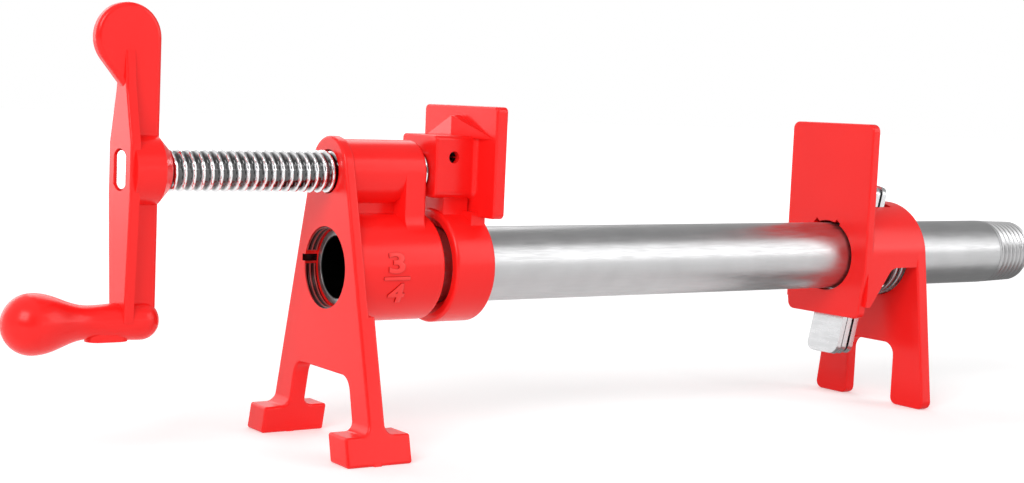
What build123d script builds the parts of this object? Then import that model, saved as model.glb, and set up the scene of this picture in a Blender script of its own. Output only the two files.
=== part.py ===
from build123d import *

import os
from math import cos, radians, sin, sqrt, tan

# Pipe clamp for three-quarter inch pipe. Millimetres, +Z up, +X from the crank towards the tail jaw.
# The origin is on the floor under the middle of the clamp's length.

# Pipe, nominal size 3/4
pipe_d = 26.67
pipe_bore_d = 20.93
pipe_length = 340.5
pipe_thread_length = 19.0
pipe_thread_d = 26.2
pipe_edge_chamfer = 0.8
pipe_axis_z = 61.0
pipe_set_in = 4.5
pipe_thread_play = 0.05

# Spindle: thread envelope, tenon for the crank, turned end in the jaw
screw_d = 14.3
screw_rise = 32.5
screw_shown = 60.0
screw_play = 0.3
screw_end_chamfer = 1.0
tenon_d = 13.3
tenon_flats = 9.7
tenon_play = 0.05
tenon_recess = 0.6
journal_d = 12.7
journal_play = 0.05
journal_groove_d = 7.0
journal_groove_play = 0.2
journal_end_play = 0.4
journal_stub = 0.6

# Head casting
head_plate_top_r = 12.0
head_plate_t = 4.0
head_leg_t = 6.2
head_leg_rise = 47.0
head_leg_half_span = 36.2
head_slot_top = 26.5
head_slot_half_top = 18.0
head_slot_half_low = 24.2
head_slot_corner_r = 5.5
head_edge_r = 0.9
foot_h = 9.6
foot_front = 9.2
foot_back = 15.3
foot_top_r = 1.6
foot_leg_r = 3.2
foot_edge_r = 0.9
screw_boss_r = 11.0
screw_boss_l = 33.0
pipe_boss_r = 18.7
pipe_boss_l = 37.0
pipe_mouth_play = 0.6
boss_web_t = 6.0
boss_flange_t = 8.5
boss_flange_fillet_r = 7.0
boss_edge_r = 1.4
key_groove_depth = 1.8
key_groove_w = 2.4
key_groove_rise = 2.0

# Sliding jaw
jaw_gap = 3.0
block_l = 16.5
block_w = 22.4
block_under = 8.4
block_over = 13.2
block_low_r = 2.8
block_top_r = 1.6
block_edge_r = 0.8
block_pad_r = 1.8
socket_depth = 12.0
socket_chamfer = 0.8
pad_t = 4.7
pad_w = 45.6
pad_top = 23.5
pad_under = 14.8
pad_corner_r = 1.8
pad_edge_r = 0.8
gable_rise = 20.0
gable_foot_rise = 12.4
gable_half_w = 21.4
gable_proud = 3.6
collar_r = 20.0
collar_l = 16.2
collar_setback = 0.4
collar_play = 0.36
collar_edge_r = 1.2
collar_mouth = 3.4
neck_half_w = 8.0
neck_l = 10.0
brace_half_w = 13.4
brace_t = 2.6
pin_d = 4.0
pin_bore_d = 2.4
pin_slit = 0.7
pin_play = 0.06
pin_end_inset = 2.2
pin_from_front = 7.3

# Tail jaw
opening = 177.0
face_t = 4.0
face_top = 53.8
face_corner_r = 3.0
face_low_w = 38.0
face_low = 24.0
face_taper_start = 5.0
face_edge_r = 0.7
tail_play = 0.9
notch_depth = 1.2
notch_w = 2.6
notch_half_gap = 5.4
arch_play = 1.0
arch_wall = 3.8
arch_l = 25.3
arch_low = 3.4
arch_front_low = 19.0
arch_ramp_l = 11.5
arch_ramp_r = 5.0
arch_window_r = 5.0
arch_root_r = 2.0
tail_leg_t = 5.4
tail_leg_half_w = 29.4
tail_leg_corner_r = 3.0
tail_slot_top = 25.0
tail_slot_half_w = 12.0
tail_slot_corner_r = 5.0
tail_edge_r = 0.9
spring_seat_depth = 3.2
spring_seat_play = 0.15
disc_slot_play = 0.5
disc_slot_l = 13.8

# Clutch discs and their spring
disc_t = 2.4
disc_tilt = 13.0
disc_gaps = [0.36, 1.25]
disc_hole_r = 14.3
disc_body_r = 17.0
disc_tab_w = 16.0
disc_top = 28.6
disc_bottom = 39.6
disc_tab_corner_r = 3.5
disc_rest_gap = 0.3
spring_wire_d = 1.5
spring_r = 16.1
spring_turns = 2.5
spring_end_gap = 0.3

# Crank handle
hub_l = 15.0
hub_r = 11.3
hub_chamfer = 3.6
bar_flange_t = 3.2
bar_flange_edge_r = 0.8
bar_depth = 12.6
bar_web_t = 5.2
bar_half_w_hub = 9.1
bar_half_w_top = 4.6
bar_half_w_fade = 2.9
bar_widest_half_l = 8.5
bar_top_reach = 25.0
bar_fade_reach = 37.5
paddle_r = 11.0
paddle_reach = 41.3
paddle_edge_r = 1.6
grip_drop = 47.9
grip_reach = 37.6
grip_bulb_r = 9.7
grip_neck_r = 5.3
grip_neck_reach = 9.0
elbow_r = 6.3
elbow_back = 14.2
grip_pad_l = 14.0
grip_pad_w = 8.0
grip_pad_t = 0.9
grip_pad_reach = 3.3

# Two places nearer than this count as one
same = 0.01

# Places that follow from the sizes above
reach_left = screw_shown + hub_l + grip_reach
reach_right = pipe_set_in + pipe_length
head_x = (reach_left - reach_right) / 2
screw_z = pipe_axis_z + screw_rise
pipe_r = pipe_d / 2
screw_r = screw_d / 2
journal_r = journal_d / 2
pin_r = pin_d / 2
hub_back_x = head_x - screw_shown
handle_x = hub_back_x - hub_l
block_x = head_x + screw_boss_l + jaw_gap
pad_back_x = block_x + block_l
pad_face_x = pad_back_x + pad_t
collar_x = pad_face_x - collar_setback - collar_l
pin_x = block_x + pin_from_front
pin_z = screw_z + journal_groove_d / 2 + journal_groove_play + pin_r
tail_x = pad_face_x + opening
arch_x = tail_x + face_t
tail_leg_x = arch_x + arch_l
spring_seat_x = tail_leg_x + spring_seat_depth
tail_hole_r = pipe_r + tail_play
arch_inner_r = disc_body_r + arch_play
arch_r = arch_inner_r + arch_wall
face_w = 2 * arch_r
grip_z = screw_z - grip_drop

# The discs lean back from just behind the tail face's lower edge, tops away from the work.
lean = tan(radians(disc_tilt))
disc_axis_x = arch_x + disc_rest_gap + face_low * lean
disc_pitches = [0.0]
for gap in disc_gaps:
    disc_pitches.append(disc_pitches[-1] + (disc_t + gap) / cos(radians(disc_tilt)))
disc_slot_x = disc_axis_x + arch_inner_r * lean - disc_slot_play
disc_back_x = disc_axis_x + disc_pitches[-1] + disc_t / cos(radians(disc_tilt))


def across(x):
    """Plane across the clamp at x: local x is +Y, local y is +Z, and it extrudes towards +X."""
    return Plane.YZ.offset(x)


def level(z):
    """Level plane at height z."""
    return Plane.XY.offset(z)


def tube_section(x_from, x_to, inner_r, outer_r, axis_z):
    """Draw the half section of a ring round an axis along X into the open sketch."""
    with Locations(((x_from + x_to) / 2, axis_z + (inner_r + outer_r) / 2)):
        Rectangle(x_to - x_from, outer_r - inner_r)


def round_edge_at(part, x, radius):
    """Return the part's round edges of one radius that lie across the clamp at x."""
    flat_edges = part.edges().filter_by(GeomType.CIRCLE).filter_by(lambda e: abs(e.center().X - x) < same)
    return flat_edges.filter_by(lambda e: abs(e.radius - radius) < same)


# Pipe: plain tube, its free end turned down to the mean envelope of a taper thread
pipe_axis = Axis((0, 0, pipe_axis_z), (1, 0, 0))
pipe_start_x = head_x + pipe_set_in
pipe_end_x = pipe_start_x + pipe_length
pipe_thread_r = pipe_thread_d / 2
with BuildPart() as pipe:
    with BuildSketch(Plane.XZ):
        with BuildLine():
            Polyline(
                (pipe_start_x, pipe_axis_z + pipe_bore_d / 2),
                (pipe_end_x, pipe_axis_z + pipe_bore_d / 2),
                (pipe_end_x, pipe_axis_z + pipe_thread_r - pipe_edge_chamfer),
                (pipe_end_x - pipe_edge_chamfer, pipe_axis_z + pipe_thread_r),
                (pipe_end_x - pipe_thread_length, pipe_axis_z + pipe_thread_r),
                (pipe_end_x - pipe_thread_length, pipe_axis_z + pipe_r),
                (pipe_start_x, pipe_axis_z + pipe_r),
                close=True,
            )
        make_face()
    revolve(axis=pipe_axis)

# Spindle: tenon, thread envelope and grooved end, turned from one bar
screw_axis = Axis((0, 0, screw_z), (1, 0, 0))
journal_end_x = block_x + socket_depth - journal_end_play
groove_half_w = pin_r + journal_groove_play
with BuildPart() as spindle:
    with BuildSketch(Plane.XZ):
        tube_section(handle_x + tenon_recess, hub_back_x + tenon_recess, 0, tenon_d / 2, screw_z)
        tube_section(hub_back_x, block_x - journal_stub, 0, screw_r, screw_z)
        tube_section(block_x - 2 * journal_stub, journal_end_x, 0, journal_r, screw_z)
        tube_section(pin_x - groove_half_w, pin_x + groove_half_w, 0, journal_r, screw_z)
    revolve(axis=screw_axis)
    with BuildSketch(across(pin_x - groove_half_w)):
        with Locations((0, screw_z)):
            Circle(screw_r)
            Circle(journal_groove_d / 2, mode=Mode.SUBTRACT)
    extrude(amount=2 * groove_half_w, mode=Mode.SUBTRACT)
    with BuildSketch(across(handle_x)):
        with Locations((0, screw_z)):
            Rectangle(2 * screw_d, 2 * screw_d)
            Rectangle(tenon_flats, 2 * screw_d, mode=Mode.SUBTRACT)
    extrude(amount=hub_l, mode=Mode.SUBTRACT)
    chamfer(spindle.edges().filter_by(GeomType.CIRCLE).group_by(Axis.X)[-1], length=screw_end_chamfer)

# Crank handle: hub, T-section bar, flat paddle above and turned grip below
crank_paddle_z = screw_z + paddle_reach
crank_paddle_x = handle_x + bar_depth - paddle_r
crank_top_z = screw_z + bar_top_reach
with BuildPart() as paddle:
    with BuildSketch(Plane.XZ):
        with BuildLine():
            CenterArc((crank_paddle_x, crank_paddle_z), paddle_r, 0, 360)
            Line((handle_x + bar_flange_edge_r, crank_top_z), (handle_x + bar_depth, crank_top_z))
        make_hull()
        with Locations((handle_x + (bar_flange_edge_r + bar_depth) / 2, (grip_z + crank_top_z) / 2)):
            Rectangle(bar_depth - bar_flange_edge_r, crank_top_z - grip_z)
    extrude(amount=bar_web_t / 2, both=True)
    paddle_sides = paddle.faces().filter_by(Axis.Y)
    fillet(paddle_sides.edges(), radius=paddle_edge_r)

with BuildPart() as bar_flange:
    with BuildSketch(across(handle_x)):
        with BuildLine():
            right_side = Polyline(
                (elbow_r, grip_z),
                (bar_half_w_hub, screw_z - bar_widest_half_l),
                (bar_half_w_hub, screw_z + bar_widest_half_l),
                (bar_half_w_top, screw_z + bar_top_reach),
                (bar_half_w_fade, screw_z + bar_fade_reach),
                (0, screw_z + bar_fade_reach),
            )
            mirror(right_side, about=Plane.YZ)
            Line((-elbow_r, grip_z), (elbow_r, grip_z))
        make_face()
    extrude(amount=bar_flange_t)
    fillet(bar_flange.faces().sort_by(Axis.X)[0].edges(), radius=bar_flange_edge_r)

bulb_x = handle_x - grip_reach + grip_bulb_r
neck_x = handle_x - grip_neck_reach
elbow_x = handle_x + elbow_back - elbow_r
with BuildPart() as grip:
    with BuildSketch(Plane.XZ):
        with BuildLine():
            CenterArc((bulb_x, grip_z), grip_bulb_r, 90, 90)
            bulb_top = (bulb_x, grip_z + grip_bulb_r)
            neck_top = (neck_x, grip_z + grip_neck_r)
            elbow_top = (elbow_x, grip_z + elbow_r)
            Spline(bulb_top, neck_top, tangents=[(1, 0), (1, 0)])
            Spline(neck_top, elbow_top, tangents=[(1, 0), (1, 0)])
            CenterArc((elbow_x, grip_z), elbow_r, 0, 90)
            Line((elbow_x + elbow_r, grip_z), (bulb_x - grip_bulb_r, grip_z))
        make_face()
    revolve(axis=Axis((0, 0, grip_z), (1, 0, 0)))
    with BuildSketch(level(grip_z - grip_neck_r - grip_pad_t)):
        with Locations((handle_x - grip_pad_reach, 0)):
            SlotOverall(grip_pad_l, grip_pad_w)
    extrude(amount=grip_neck_r)

with BuildPart() as hub:
    with BuildSketch(across(handle_x + bar_flange_t / 2)):
        with Locations((0, screw_z)):
            Circle(hub_r)
    extrude(amount=hub_l - bar_flange_t / 2)
    chamfer(hub.faces().sort_by(Axis.X)[-1].edges(), length=hub_chamfer)

with BuildPart() as crank:
    add(paddle.part)
    add(bar_flange.part)
    add(grip.part)
    add(hub.part)
    with BuildSketch(across(handle_x)):
        with Locations((0, screw_z)):
            Circle(tenon_d / 2 + tenon_play)
            Rectangle(tenon_flats + 2 * tenon_play, 2 * tenon_d, mode=Mode.INTERSECT)
    extrude(amount=hub_l, mode=Mode.SUBTRACT)

# Head casting: A-shaped front plate on two feet, two bosses joined by a web and a rear flange


def head_outline(x, height):
    """Return the front plate's outline at x, with the slot between its legs, up to a height."""
    with BuildSketch(across(x)) as outline:
        with BuildLine():
            CenterArc((0, screw_z), head_plate_top_r, 0, 180)
            Line((-head_leg_half_span, 0), (head_leg_half_span, 0))
        make_hull()
        with BuildLine():
            Polyline(
                (-head_slot_half_top, head_slot_top),
                (head_slot_half_top, head_slot_top),
                (head_slot_half_low, 0),
                (-head_slot_half_low, 0),
                close=True,
            )
        make_face(mode=Mode.SUBTRACT)
        slot_corners = outline.vertices().filter_by(lambda v: abs(v.Y - head_slot_top) < same)
        fillet(slot_corners, radius=head_slot_corner_r)
        with Locations((0, height / 2)):
            Rectangle(4 * head_leg_half_span, height, mode=Mode.INTERSECT)
    return outline.sketch


with BuildPart() as head_plate:
    extrude(head_outline(head_x, screw_z + 2 * head_plate_top_r), amount=head_plate_t)
    fillet(head_plate.faces().filter_by(Axis.X).edges(), radius=head_edge_r)

foot_l = foot_front + foot_back
with BuildPart() as head_legs:
    with BuildSketch(Plane.XZ) as leg_side:
        with Locations((head_x - foot_front + foot_l / 2, foot_h / 2)):
            Rectangle(foot_l, foot_h)
        with Locations((head_x + head_leg_t / 2, head_leg_rise / 2)):
            Rectangle(head_leg_t, head_leg_rise)
        foot_ends = leg_side.vertices().group_by(Axis.X)
        fillet(foot_ends[0].sort_by(Axis.Y)[-1] + foot_ends[-1].sort_by(Axis.Y)[-1], radius=foot_top_r)
        foot_tops = leg_side.vertices().filter_by(lambda v: abs(v.Y - foot_h) < same)
        leg_corners = foot_tops.filter_by(lambda v: head_x - same < v.X < head_x + head_leg_t + same)
        fillet(leg_corners, radius=foot_leg_r)
    extrude(amount=head_leg_half_span, both=True)
    extrude(head_outline(head_x - foot_front, head_leg_rise), amount=foot_l, mode=Mode.INTERSECT)
    fillet(head_legs.edges().filter_by(lambda e: e.center().Z < foot_h + foot_leg_r), radius=foot_edge_r)

with BuildPart() as head_flange:
    with BuildSketch(across(head_x + screw_boss_l - boss_flange_t)) as flange_outline:
        with Locations((0, screw_z)):
            Circle(screw_boss_r)
        with Locations((0, pipe_axis_z)):
            Circle(pipe_boss_r)
        with Locations((0, (pipe_axis_z + screw_z) / 2)):
            Rectangle(2 * screw_boss_r, screw_rise)
        waist = flange_outline.vertices().filter_by(lambda v: pipe_axis_z + pipe_r < v.Y < screw_z - same)
        fillet(waist, radius=boss_flange_fillet_r)
    extrude(amount=boss_flange_t)
    fillet(head_flange.faces().filter_by(Axis.X).sort_by(Axis.X)[-1].edges(), radius=boss_edge_r)

with BuildPart() as pipe_boss:
    with BuildSketch(across(head_x + head_edge_r)):
        with Locations((0, pipe_axis_z)):
            Circle(pipe_boss_r)
    extrude(amount=pipe_boss_l - head_edge_r)
    fillet(pipe_boss.faces().sort_by(Axis.X)[-1].edges(), radius=boss_edge_r)

with BuildPart() as head:
    add(head_plate.part)
    add(head_flange.part)
    add(pipe_boss.part)
    add(head_legs.part)
    with BuildSketch(across(head_x + head_edge_r)):
        with Locations((0, screw_z)):
            Circle(screw_boss_r)
    extrude(amount=screw_boss_l - boss_flange_t / 2 - head_edge_r)
    with BuildSketch(across(head_x + head_edge_r)):
        with Locations((0, (pipe_axis_z + screw_z) / 2)):
            Rectangle(boss_web_t, screw_rise)
    extrude(amount=screw_boss_l - boss_flange_t / 2 - head_edge_r)
    with BuildSketch(across(head_x)):
        with Locations((0, screw_z)):
            Circle(screw_r + screw_play)
    extrude(amount=pipe_boss_l, mode=Mode.SUBTRACT)
    with BuildSketch(across(head_x)):
        with Locations((0, pipe_axis_z)):
            Circle(pipe_r + pipe_thread_play)
    extrude(amount=pipe_boss_l, mode=Mode.SUBTRACT)
    with BuildSketch(across(head_x)):
        with Locations((0, pipe_axis_z)):
            Circle(pipe_r + pipe_mouth_play)
        with Locations((pipe_r + pipe_mouth_play, pipe_axis_z + key_groove_rise)):
            Rectangle(2 * key_groove_depth, key_groove_w)
    extrude(amount=pipe_set_in, mode=Mode.SUBTRACT)

# Sliding jaw: spindle block, pressing pad with a gable, neck and collar round the pipe
with BuildPart() as jaw_block:
    with BuildSketch(across(block_x)) as block_outline:
        with Locations((0, screw_z + (block_over - block_under) / 2)):
            Rectangle(block_w, block_over + block_under)
        fillet(block_outline.vertices().group_by(Axis.Y)[0], radius=block_low_r)
        fillet(block_outline.vertices().group_by(Axis.Y)[-1], radius=block_top_r)
    extrude(amount=block_l + pad_t / 2)
    fillet(jaw_block.faces().sort_by(Axis.X)[0].edges(), radius=block_edge_r)

with BuildPart() as jaw_pad:
    with BuildSketch(across(pad_back_x)):
        with Locations((0, screw_z + (pad_top - pad_under) / 2)):
            RectangleRounded(pad_w, pad_top + pad_under, pad_corner_r)
    extrude(amount=pad_t)
    fillet(jaw_pad.faces().filter_by(Axis.X).edges(), radius=pad_edge_r)

with BuildPart() as jaw_collar:
    with BuildSketch(across(collar_x)):
        with Locations((0, pipe_axis_z)):
            Circle(collar_r)
    extrude(amount=collar_l)
    fillet(jaw_collar.faces().filter_by(Axis.X).edges(), radius=collar_edge_r)

gable_l = gable_proud + pad_t / 2
with BuildPart() as jaw_gable:
    with BuildSketch(across(pad_back_x - gable_proud)):
        with BuildLine():
            Polyline(
                (0, screw_z + gable_rise),
                (gable_half_w, screw_z + gable_foot_rise),
                (-gable_half_w, screw_z + gable_foot_rise),
                close=True,
            )
        make_face()
    extrude(amount=gable_l)
    with BuildSketch(level(screw_z)):
        with BuildLine():
            Polyline(
                (pad_back_x - gable_proud, 0),
                (pad_back_x, gable_half_w),
                (pad_back_x + pad_t / 2, gable_half_w),
                (pad_back_x + pad_t / 2, -gable_half_w),
                (pad_back_x, -gable_half_w),
                close=True,
            )
        make_face()
    extrude(amount=gable_rise, mode=Mode.INTERSECT)

with BuildPart() as jaw:
    add(jaw_pad.part)
    add(jaw_block.part)
    block_foot = jaw.edges().filter_by(lambda e: abs(e.center().X - pad_back_x) < same)
    fillet(block_foot.filter_by(lambda e: abs(e.center().Y) < block_w / 2 + same), radius=block_pad_r)
    add(jaw_collar.part)
    add(jaw_gable.part)
    neck_low_z = pipe_axis_z + pipe_r + collar_play
    neck_high_z = screw_z - block_under + block_low_r
    with BuildSketch(across(collar_x + collar_edge_r)):
        with Locations((0, (neck_low_z + neck_high_z) / 2)):
            Rectangle(2 * neck_half_w, neck_high_z - neck_low_z)
    extrude(amount=neck_l)
    brace_high_z = screw_z - pad_under + pad_corner_r
    with BuildSketch(across(pad_back_x - brace_t)):
        with Locations((0, (brace_high_z + neck_low_z) / 2)):
            Rectangle(2 * brace_half_w, brace_high_z - neck_low_z)
    extrude(amount=collar_x + collar_l - collar_edge_r - pad_back_x + brace_t)
    with BuildSketch(across(collar_x)):
        with Locations((0, pipe_axis_z)):
            Circle(pipe_r + collar_play)
    extrude(amount=collar_l, mode=Mode.SUBTRACT)
    chamfer(round_edge_at(jaw, collar_x, pipe_r + collar_play), length=collar_mouth)
    with BuildSketch(across(block_x)):
        with Locations((0, screw_z)):
            Circle(journal_r + journal_play)
    extrude(amount=socket_depth, mode=Mode.SUBTRACT)
    chamfer(round_edge_at(jaw, block_x, journal_r + journal_play), length=socket_chamfer)
    with BuildSketch(Plane.XZ):
        with Locations((pin_x, pin_z)):
            Circle(pin_r + pin_play)
    extrude(amount=block_w, both=True, mode=Mode.SUBTRACT)

# Retaining pin: hollow, with a slit along its length
with BuildPart() as pin:
    with BuildSketch(Plane.XZ):
        with Locations((pin_x, pin_z)):
            Circle(pin_r)
            Circle(pin_bore_d / 2, mode=Mode.SUBTRACT)
        with Locations((pin_x + pin_r, pin_z)):
            Rectangle(pin_d, pin_slit, mode=Mode.SUBTRACT)
    extrude(amount=block_w / 2 - pin_end_inset, both=True)

# Tail jaw: pressing face, arched housing over the discs and a rear leg with two feet
with BuildPart() as tail_face:
    with BuildSketch(across(tail_x)) as face_outline:
        with BuildLine():
            face_side = Polyline(
                (0, pipe_axis_z + face_top),
                (face_w / 2, pipe_axis_z + face_top),
                (face_w / 2, pipe_axis_z - face_taper_start),
                (face_low_w / 2, pipe_axis_z - face_low),
                (0, pipe_axis_z - face_low),
            )
            mirror(face_side, about=Plane.YZ)
        make_face()
        low_row = face_outline.vertices().group_by(Axis.Y)[0].group_by(Axis.X)
        fillet(low_row[0] + low_row[-1], radius=face_corner_r)
        top_row = face_outline.vertices().group_by(Axis.Y)[-1].group_by(Axis.X)
        fillet(top_row[0] + top_row[-1], radius=face_corner_r)
    extrude(amount=face_t)
    fillet(tail_face.faces().filter_by(Axis.X).edges(), radius=face_edge_r)

with BuildPart() as tail_leg:
    with BuildSketch(across(tail_leg_x)) as leg_shape:
        with BuildLine():
            CenterArc((0, pipe_axis_z), arch_r, 0, 180)
            Line((-tail_leg_half_w, 0), (tail_leg_half_w, 0))
        make_hull()
        with Locations((0, tail_slot_top / 2)):
            Rectangle(2 * tail_slot_half_w, tail_slot_top, mode=Mode.SUBTRACT)
        slot_corners = leg_shape.vertices().filter_by(lambda v: abs(v.Y - tail_slot_top) < same)
        fillet(slot_corners, radius=tail_slot_corner_r)
        fillet(leg_shape.vertices().filter_by(lambda v: abs(v.Y) < same), radius=tail_leg_corner_r)
    extrude(amount=tail_leg_t)
    fillet(tail_leg.faces().filter_by(Axis.X).edges(), radius=tail_edge_r)

arch_end_x = tail_leg_x + tail_leg_t / 2
notch_rise = sqrt(tail_hole_r**2 - notch_half_gap**2)
with BuildPart() as tail:
    with BuildSketch(across(arch_x - face_t / 2)):
        for radius, mode in ((arch_r, Mode.ADD), (arch_inner_r, Mode.SUBTRACT)):
            with Locations((0, pipe_axis_z)):
                Circle(radius, mode=mode)
            with Locations((0, pipe_axis_z - arch_front_low)):
                Rectangle(2 * radius, 2 * arch_front_low, mode=mode)
        with Locations((0, pipe_axis_z - arch_front_low - arch_r)):
            Rectangle(4 * arch_r, 2 * arch_r, mode=Mode.SUBTRACT)
    extrude(amount=arch_end_x - arch_x + face_t / 2)
    with BuildSketch(Plane.XZ) as window:
        with BuildLine():
            Polyline(
                (arch_x, pipe_axis_z - arch_front_low),
                (arch_x + arch_ramp_l, pipe_axis_z - arch_low),
                (tail_leg_x, pipe_axis_z - arch_low),
                (tail_leg_x, pipe_axis_z - arch_front_low - arch_r),
                (arch_x, pipe_axis_z - arch_front_low - arch_r),
                close=True,
            )
        make_face()
        window_top = window.vertices().filter_by(lambda v: abs(v.Y - pipe_axis_z + arch_low) < same)
        fillet(window_top.sort_by(Axis.X)[0], radius=arch_ramp_r)
        fillet(window_top.sort_by(Axis.X)[-1], radius=arch_window_r)
    extrude(amount=2 * arch_r, both=True, mode=Mode.SUBTRACT)
    add(tail_face.part)
    add(tail_leg.part)
    fillet(round_edge_at(tail, arch_x, arch_r), radius=arch_root_r)
    with BuildSketch(level(pipe_axis_z + pipe_r)):
        with Locations((disc_slot_x + disc_slot_l / 2, 0)):
            Rectangle(disc_slot_l, disc_tab_w + 2 * disc_slot_play)
    extrude(amount=arch_r, mode=Mode.SUBTRACT)
    with BuildSketch(across(tail_x)):
        with Locations((0, pipe_axis_z)):
            Circle(tail_hole_r)
    extrude(amount=arch_end_x - tail_x + tail_leg_t, mode=Mode.SUBTRACT)
    with BuildSketch(across(tail_leg_x)):
        with Locations((0, pipe_axis_z)):
            Circle(spring_r + spring_wire_d / 2 + spring_seat_play)
    extrude(amount=spring_seat_depth, mode=Mode.SUBTRACT)
    with BuildSketch(across(tail_x)):
        for side in (-1, 1):
            with Locations((side * notch_half_gap, pipe_axis_z + notch_rise)):
                Rectangle(notch_w, 2 * notch_depth, rotation=45)
    extrude(amount=face_t, mode=Mode.SUBTRACT)

# Clutch discs: three alike, leaning, with a tab through the arch and a tab to squeeze below
disc_up = Vector(sin(radians(disc_tilt)), 0, cos(radians(disc_tilt)))
disc_forward = Vector(cos(radians(disc_tilt)), 0, -sin(radians(disc_tilt)))
discs = []
for pitch in disc_pitches:
    disc_plane = Plane((disc_axis_x + pitch, 0, pipe_axis_z), x_dir=(0, 1, 0), z_dir=disc_forward)
    tab_top = disc_top / disc_up.Z
    tab_bottom = disc_bottom / disc_up.Z
    with BuildPart() as disc:
        with BuildSketch(disc_plane):
            Circle(disc_body_r)
            with Locations((0, (tab_top - tab_bottom) / 2)):
                RectangleRounded(disc_tab_w, tab_top + tab_bottom, disc_tab_corner_r)
            Circle(disc_hole_r, mode=Mode.SUBTRACT)
        extrude(amount=disc_t)
    discs.append(disc)

# Clutch spring: a coil round the pipe from the last disc's back to its seat in the rear leg
spring_front_x = disc_back_x + (spring_r + spring_wire_d / 2) * lean + spring_end_gap + spring_wire_d / 2
spring_back_x = spring_seat_x - spring_end_gap - spring_wire_d / 2
spring_l = spring_back_x - spring_front_x
with BuildPart() as spring:
    with BuildLine():
        coil = Helix(
            pitch=spring_l / spring_turns,
            height=spring_l,
            radius=spring_r,
            center=(spring_front_x, 0, pipe_axis_z),
            direction=(1, 0, 0),
        )
    with BuildSketch(Plane(origin=coil @ 0, z_dir=coil % 0)):
        Circle(spring_wire_d / 2)
    sweep(is_frenet=True)

nodes = {
    "head_casting": head,
    "pipe": pipe,
    "spindle": spindle,
    "crank_handle": crank,
    "sliding_jaw": jaw,
    "retaining_pin": pin,
    "tail_jaw": tail,
    "clutch_spring": spring,
}
for number, disc in enumerate(discs, start=1):
    nodes[f"clutch_disc_{number}"] = disc

os.makedirs("parts", exist_ok=True)
for name, builder in nodes.items():
    builder.part.label = name
    export_step(builder.part, f"parts/{name}.step")
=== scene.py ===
"""Dress the pipe clamp: coated castings, plated spindle, zinc pipe, steel discs and a coil spring."""

from __future__ import annotations

import logging
import math
from collections.abc import Sequence
from dataclasses import dataclass
from enum import Enum

import bmesh
import bpy
from mathutils import Matrix, Vector


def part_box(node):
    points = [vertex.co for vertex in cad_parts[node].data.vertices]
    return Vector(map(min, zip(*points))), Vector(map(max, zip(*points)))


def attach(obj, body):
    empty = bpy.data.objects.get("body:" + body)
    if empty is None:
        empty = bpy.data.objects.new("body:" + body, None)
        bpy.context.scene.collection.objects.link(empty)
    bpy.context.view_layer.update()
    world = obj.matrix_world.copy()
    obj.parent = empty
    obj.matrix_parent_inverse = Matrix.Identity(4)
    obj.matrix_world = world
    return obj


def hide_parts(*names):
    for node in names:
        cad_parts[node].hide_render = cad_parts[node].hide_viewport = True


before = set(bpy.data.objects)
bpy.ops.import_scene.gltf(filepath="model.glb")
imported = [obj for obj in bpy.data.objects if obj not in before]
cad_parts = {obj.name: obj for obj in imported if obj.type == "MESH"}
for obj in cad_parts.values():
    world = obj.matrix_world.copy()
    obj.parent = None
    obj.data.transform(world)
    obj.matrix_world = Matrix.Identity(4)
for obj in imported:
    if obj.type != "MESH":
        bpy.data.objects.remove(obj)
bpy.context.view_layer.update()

MM = 0.001
SAME = 0.001 * MM
LEAST_COSINE = 1e-9
SHARP_EDGE = math.radians(40.0)
BUMP_SHARE = 0.2
NOISE_MIDDLE = (0.3, 0.7)
WHITE = (1.0, 1.0, 1.0, 1.0)
BLACK = (0.0, 0.0, 0.0, 1.0)
CLAMP_MIDDLE = Vector((0.0, 0.0, 0.07))
LOG = logging.getLogger("pipe_clamp")

Colour = tuple[float, float, float]
Place = tuple[float, float, float]
Socket = bpy.types.NodeSocket
Value = float | Socket
Ring = list[bmesh.types.BMVert]


class Steel(Enum):
    """Bare steels of the clamp, each with its base colour and its roughness."""

    PIPE = ((0.50, 0.50, 0.505), 0.36)
    SPINDLE = ((0.84, 0.84, 0.85), 0.15)
    DISC = ((0.66, 0.66, 0.67), 0.24)
    SPRING = ((0.42, 0.42, 0.43), 0.28)
    # Near black: painted shade of the pin's hole.
    PIN = ((0.012, 0.011, 0.011), 0.45)


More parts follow.
